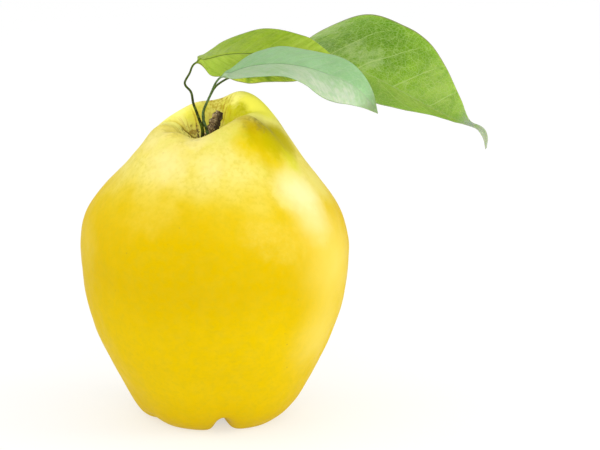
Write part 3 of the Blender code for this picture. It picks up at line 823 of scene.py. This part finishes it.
# what all leaf materials share; clouds are size, low and high of the noise, detail
leafFinish = {
    "blade": (12, 0.35, 0.65, 4), "near": (16, 0.2, 0.6), "nearSide": (-0.6, 0.6),
    "small": (1.3, 0.4, 0.7), "smallAmount": 0.3,
    "streaks": {"Size": 1, "Detail": 4, "Low": 0.42, "High": 0.66}, "streakSlant": 0.22,
    "blotches": (2.6, 0.5, 0.72, 5),
    "midribTurns": (20, 40), "midribAmount": 0.85,
    "felt": (2.5, 0.3, 0.7, 5), "feltAmount": 0.3, "raisedAmount": 0.6,
    "withered": (2, 0.2, 0.5), "witheredAmount": 0.9,
    "edge": (0.965, 0.995, 0, 0.8),
    "foot": (-20, -8), "stemAmount": 0.2, "stemEnds": (2, -2),
    "relief": 0.00006, "reliefAmount": 0.7,
}


def leafMaterial(name, spacing):
    look, shared = leafLooks[name], leafFinish
    material, tree, shader = newMaterial(name, IOR=look["gloss"], Subsurface_Weight=0.3,
                                         Subsurface_Scale=0.0015, Subsurface_Radius=(0.6, 1, 0.2))
    place, past, off = objectPlace(tree), mark(tree, "alongBlade"), mark(tree, "acrossBlade")
    edge, under, row = mark(tree, "edgeShare"), mark(tree, "underside"), mark(tree, "veinPlace")
    flat = flatPlace(tree, past, off)
    veins = useGroup(tree, leafVeins, **{
        "Along": past, "Across": off, "Vein Place": row, "Edge": edge, "Spacing": spacing,
        "Midrib Width": look["midribWidth"], "Net Size": look["netSize"]})
    small = cloud(tree, place, *shared["small"])
    colour = over(tree, look["blade"], cloud(tree, place, *shared["blade"]), look["cloud"],
                  look["shade"])
    # the near half of the blade takes the near colour, paler on leaf_left and leaf_front: partly
    # paler leaf, partly painted sheen
    near = times(tree, between(tree, off, *shared["nearSide"]),
                 cloud(tree, place, *shared["near"]))
    colour = over(tree, colour, near, look["nearAmount"], look["near"])
    for kind, along, across, core, reach, ragged, amount in look["patches"]:
        mask = useGroup(tree, patch, Vector=flat, Centre=(along, across, 0), Core=core,
                        Reach=reach, Ragged=ragged)
        colour = over(tree, colour, mask, amount, look[kind])

    # streaks that run along the side veins, then blotches, the net and the veins
    ribbon = flatPlace(tree, times(tree, row, look["streakCount"]),
                       times(tree, off, shared["streakSlant"]))
    streak = useGroup(tree, mottle, Vector=ribbon, **shared["streaks"])
    blotches = cloud(tree, place, *shared["blotches"])
    for mask, amount, kind in (
            (streak, look["streaks"], "shade"), (blotches, look["blotches"], "shade"),
            (small, shared["smallAmount"], "pale"), (veins["Net"], look["netAmount"], "vein"),
            (veins["Side Veins"], look["veinAmount"], "vein")):
        colour = over(tree, colour, mask, amount, look[kind])
    rib = tint(tree, between(tree, past, *shared["midribTurns"]), look["midrib"], look["midribFar"])
    colour = over(tree, colour, veins["Midrib"], shared["midribAmount"], rib)

    # the underside is paler and felted, with its veins standing out
    below = over(tree, look["under"], cloud(tree, place, *shared["felt"]), shared["feltAmount"],
                 look["blade"])
    raised = calc(tree, "MAXIMUM", veins["Side Veins"], veins["Midrib"])
    below = over(tree, below, raised, shared["raisedAmount"], look["vein"])
    colour = tint(tree, under, colour, below)
    if "end" in look:
        withered = times(tree, between(tree, past, *look["endFrom"]),
                         cloud(tree, place, *shared["withered"]))
        colour = over(tree, colour, withered, shared["witheredAmount"], look["end"])
    colour = tint(tree, between(tree, edge, *shared["edge"]), colour, look["edge"])
    stem = tint(tree, between(tree, past, *shared["foot"]), look["foot"], look["stem"])
    stem = over(tree, stem, small, shared["stemAmount"], look["blade"])
    colour = tint(tree, between(tree, past, *shared["stemEnds"]), colour, stem)

    gloss = between(tree, calc(tree, "MAXIMUM", small, under), 0, 1, *look["roughness"])
    relief = calc(tree, "SUBTRACT", times(tree, small, 0.3), veins["Net"])
    wireShader(tree, shader, colour, gloss, relief, shared["relief"], shared["reliefAmount"])
    return material


def addLeaf(name):
    leaf = leafShapes[name]
    mesh, polar, turn = sphereMesh(name + "_blade", leaf)
    points, marks = bladePoints(leaf, polar, turn)
    addPiece(mesh, points, marks, name, leafMaterial(name, leaf["veinSpacing"]))


dryLooks = {
    "dry_sepal": {"flesh": (0.17, 0.095, 0.04), "dark": (0.05, 0.028, 0.014),
                  "dust": (0.42, 0.33, 0.21)},
    "dry_styles": {"flesh": (0.11, 0.065, 0.032), "dark": (0.03, 0.018, 0.01),
                   "dust": (0.34, 0.26, 0.17)},
    # one side of the stub is nearly black: which way, from and to in mm
    "bark": {"flesh": (0.5, 0.36, 0.16), "dark": (0.085, 0.048, 0.02), "dust": (0.85, 0.7, 0.42),
             "darkSide": (0.035, 0.02, 0.006), "darkSideWay": (0.95, -0.2, -0.18),
             "darkSideFrom": (-0.9, 0.2), "grainSize": 1.4},
}


# what the dry materials share; ranges are of the flakes' noise
dryFinish = {
    "grainSize": 1.2, "fleshFrom": (0.35, 0.65), "crackAmount": 0.8,
    "dusty": (0.9, 0.52, 0.66, 4), "dustAmount": 0.6,
    "darkSideRagged": -2, "darkSideAmount": 0.9,
    "roughness": (0.3, 0.7, 0.75, 0.95), "relief": 0.0003, "reliefAmount": 0.8,
}


def dryMaterial(name, look):
    look = {**dryFinish, **look}
    material, tree, shader = newMaterial(name, IOR=1.4)
    place = objectPlace(tree)
    flaky = useGroup(tree, grain, Vector=place, Size=look["grainSize"] * mm)
    flakes, cracks = flaky["Flakes"], flaky["Cracks"]
    dusty = cloud(tree, place, *look["dusty"])
    colour = tint(tree, between(tree, flakes, *look["fleshFrom"]), look["dark"], look["flesh"])
    colour = over(tree, colour, dusty, look["dustAmount"], look["dust"])
    colour = over(tree, colour, cracks, look["crackAmount"], look["dark"])
    if "darkSide" in look:
        middle = Vector(stalkShape["path"][2]) * mm + fruitAxis
        side = vectorCalc(tree, "DOT_PRODUCT", vectorCalc(tree, "SUBTRACT", place, middle),
                          look["darkSideWay"], "Value")
        side = calc(tree, "ADD", side, times(tree, flakes, look["darkSideRagged"] * mm))
        start, full = look["darkSideFrom"]
        black = between(tree, side, start * mm, full * mm, 0, look["darkSideAmount"])
        colour = tint(tree, black, colour, look["darkSide"])
    wireShader(tree, shader, colour, between(tree, flakes, *look["roughness"]),
               calc(tree, "SUBTRACT", flakes, cracks), look["relief"], look["reliefAmount"])
    return material


sepalShape = {
    "path": [(2.2, 0, -0.7), (4, 0, -1.5), (5.6, 0, -2.9), (6.6, 0, -4.8), (6.5, 0, -6.8)],
    "petiole": 0, "halfWidths": (0.8, 2, 2.5, 1.8, 0.1), "roll": (0, 0), "fold": (10, 26),
    "curl": 0, "wave": 0.15, "side": (0, 1, 0), "stem": 0.2, "thickness": 0.45,
    "veinSpacing": 2.2, "quilting": 0.05, "veinGroove": 0.04, "veinRidge": 0.05,
    "midribGroove": 0.06, "crumple": (1.6, 0.12), "rings": 60, "segments": 56,
    "count": 5, "firstAngle": -62,
    "basin": 0.095 * 96.6 - 0.3,      # height of the basin's floor, less the gap under it
}


def addSepals():
    shape = sepalShape
    material = dryMaterial("drySepal", dryLooks["dry_sepal"])
    size, amount = shape["crumple"]
    for i in range(shape["count"]):
        mesh, polar, turn = sphereMesh(f"sepal_{i + 1}_dry", shape)
        points, marks = bladePoints(shape, polar, turn)
        a = math.radians(shape["firstAngle"] + i * 360 / shape["count"])
        spin = np.array([[math.cos(a), math.sin(a), 0], [-math.sin(a), math.cos(a), 0], [0, 0, 1]])
        points = points @ spin + np.array([0, 0, shape["basin"]])
        crumple = bumps(points, size) * amount * np.sin(polar * math.pi)
        points += unit(points * np.array([1, 1, 0])) * crumple[:, None]
        addPiece(mesh, points, marks, f"sepal_{i + 1}", material)


# the spur's stub and the dry styles

stalkShape = {
    "path": [(-2, 0.4, 87.4), (-1.5, 0.8, 90.2), (-0.7, 1.5, 93.2), (0.4, 2.4, 96.2),
             (1.7, 3.2, 98.9)],
    "radii": (2.35, 2.35, 2.25, 2, 1.6), "cap": 0.1,      # the ends are domed over a share, cap
    "ridges": 11, "ridgeHeight": 0.12,
    "pits": [(1.7, 0.9), (0.8, 0.6), (0.35, 0.25)],        # size and depth
    "scars": 6, "scarHeight": 0.16,                       # rings left by bud scales
    # on the broken end: turn in degrees, share of the radius, half width and depth in mm
    "holes": [(150, 0.45, 0.32, 0.8), (10, 0.4, 0.3, 0.7), (-70, 0.62, 0.26, 0.6)],
    "dent": 0.45, "splinters": 0.3,
    "rings": 170, "segments": 120,
}
stylesShape = {
    "path": [(0, 0, -0.3), (0.1, 0.1, -2.5), (0.3, 0, -4.9)],
    "radii": (1.15, 0.85, 0.5), "cap": 0.08, "ridges": 5, "ridgeHeight": 0.16, "pits": [(0.8, 0.1)],
    "rings": 60, "segments": 60,
}


def tubePoints(shape, polar, turn):
    # a closed rough tube along a path, with domed ends
    cap = shape["cap"]
    along = np.clip((polar - cap) / (1 - 2 * cap), 0, 1)
    shrink = np.sqrt(np.clip(1 - np.maximum(cap - polar, polar - 1 + cap) / cap, 0, 1))
    shrink = np.where((polar < cap) | (polar > 1 - cap), shrink, 1)
    path = evenPath(shape["path"])[0]
    ahead = unit(aheadOn(path, along, 0.02))
    side = unit(np.cross(ahead, np.array([0, 1, 0])))
    outwards = side * np.cos(turn)[:, None] + np.cross(ahead, side) * np.sin(turn)[:, None]
    radius = blend(shape["radii"], along)
    ridges = 0.5 + 0.5 * np.cos(turn * shape["ridges"] + along * 2)
    radius = radius - shape["ridgeHeight"] * ridges
    if "scars" in shape:
        scars = np.sin(along * shape["scars"] * 2 * math.pi + 1.3 * np.sin(turn)) ** 3
        radius += shape["scarHeight"] * scars
    points = splineThrough(path, along) + outwards * (radius * shrink)[:, None]
    for size, depth in shape["pits"]:
        pits = np.minimum(bumps(points, size) * 0.5 - 0.12, 0) * depth
        points += outwards * (pits * shrink)[:, None]
    if "holes" in shape:
        onTop = ease(1 - cap, 1 - 0.8 * cap, polar)
        flat = np.stack([shrink * radius * np.cos(turn), shrink * radius * np.sin(turn)], 1)
        sink = shape["dent"] * (1 - shrink ** 2) + bumps(points * 1.7, 1) * shape["splinters"]
        for turned, share, width, depth in shape["holes"]:
            a = math.radians(turned)
            at = share * radius.mean() * np.array([math.cos(a), math.sin(a)])
            sink += depth * hill(np.linalg.norm(flat - at, axis=1), width)
        points -= ahead * (sink * onTop)[:, None]
    return points


def addTube(shape, node, material, low=0):
    mesh, polar, turn = sphereMesh(node + "_dry", shape)
    points = tubePoints(shape, polar, turn) + np.array([0, 0, low])
    return addPiece(mesh, points, {}, node, material)


# putting it together

def findAxis():
    # the fruit's axis in the frame: its CAD box against the box of the same formula
    polar, turn = np.meshgrid(np.linspace(0, 1, 51), np.radians(np.arange(0, 360, 7.5)))
    plain = {**fruitShape, "lumps": fruitShape["lumps"][:1], "pitFolds": 0, "creases": []}
    points = fruitPoints(plain, polar.ravel(), turn.ravel())
    low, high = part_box("fruit")
    middle = (points.min(0) + points.max(0)) / 2 * mm
    return Vector(((low.x + high.x) / 2 - middle[0], (low.y + high.y) / 2 - middle[1], 0))


fruitAxis = findAxis()
print("fruit's axis at", [round(v / mm, 2) for v in fruitAxis])

underLeaves = [addFruit()]
print("fruit done")
for leafName in leafShapes:
    addLeaf(leafName)
print("leaves done")
underLeaves.append(addTube(stalkShape, "stalk", dryMaterial("spurBark", dryLooks["bark"])))
addTube(stylesShape, "style_column", dryMaterial("dryStyles", dryLooks["dry_styles"]),
        sepalShape["basin"])
addSepals()
print("stalk and calyx done")


# floor, light and camera

studio = {
    "elevation": 15, "distance": 2,          # of the camera, in degrees and metres
    "wide": 0.1905, "sensor": 36,              # metres the view takes in across, and mm of film
    "target": (26.98, 0, 62.64),
    "farthest": 100,                           # metres to the last thing the camera shows
    "world": 0.86, "backdrop": 0.95,      # light from all round, and its look past the floor
    "floor": (0.45, 0.45, 0.45), "floorGlow": 0.56, "floorSide": 80,
    # where from (mm), size (m), power (W)
    "lights": {
        "front": ((60, -1000, 210), 0.9, 4.9),
        "right": ((800, -60, 300), 0.5, 2.6),
        "left": ((-700, 60, 300), 0.5, 1.1),
        "crown": ((-120, -60, 800), 0.4, 1.4),
    },
    "pastLeaves": "crown",        # this light reaches the fruit as if the leaves let it through
}


def placeLooking(name, data, place, target):
    made = bpy.data.objects.new(name, data)
    made.location = place
    made.rotation_euler = (target - place).to_track_quat("-Z", "Y").to_euler()
    bpy.context.scene.collection.objects.link(made)
    return made


def addStudio():
    scene = bpy.context.scene
    scene.world = bpy.data.worlds.new("studio")
    scene.world.use_nodes = True
    tree = scene.world.node_tree
    sky = tree.nodes["Background"].inputs
    sky["Color"].default_value = (1, 1, 1, 1)
    seen = addNode(tree, "ShaderNodeLightPath").outputs["Is Camera Ray"]
    more = times(tree, seen, studio["backdrop"] - studio["world"])
    tree.links.new(calc(tree, "ADD", more, studio["world"]), sky["Strength"])

    bpy.ops.mesh.primitive_plane_add(size=studio["floorSide"])
    floor = bpy.context.object
    floor.name = "floor"
    floor.data.materials.append(newMaterial(
        "paleFloor", Roughness=0.9, Base_Color=(*studio["floor"], 1), IOR=1.1,
        Emission_Color=(1, 1, 1, 1), Emission_Strength=studio["floorGlow"])[0])

    target = Vector(studio["target"]) * mm + fruitAxis
    for name, (place, size, power) in studio["lights"].items():
        light = bpy.data.lights.new(name, "AREA")
        light.shape, light.size, light.energy = "DISK", size, power
        lamp = placeLooking(name, light, Vector(place) * mm + fruitAxis, target)
        if name == studio["pastLeaves"]:
            reached = bpy.data.collections.new("underLeaves")
            for piece in underLeaves:
                reached.objects.link(piece)
            lamp.light_linking.receiver_collection = reached
            lamp.light_linking.blocker_collection = reached

    camera = bpy.data.cameras.new("camera")
    camera.sensor_width = studio["sensor"]
    camera.lens = studio["sensor"] * studio["distance"] / studio["wide"]
    camera.clip_end = studio["farthest"]
    rise = math.radians(studio["elevation"])
    back = Vector((0, -math.cos(rise), math.sin(rise))) * studio["distance"]
    scene.camera = placeLooking("camera", camera, target + back, target)
    scene.view_settings.view_transform = "Standard"
    scene.view_settings.look = "None"


addStudio()
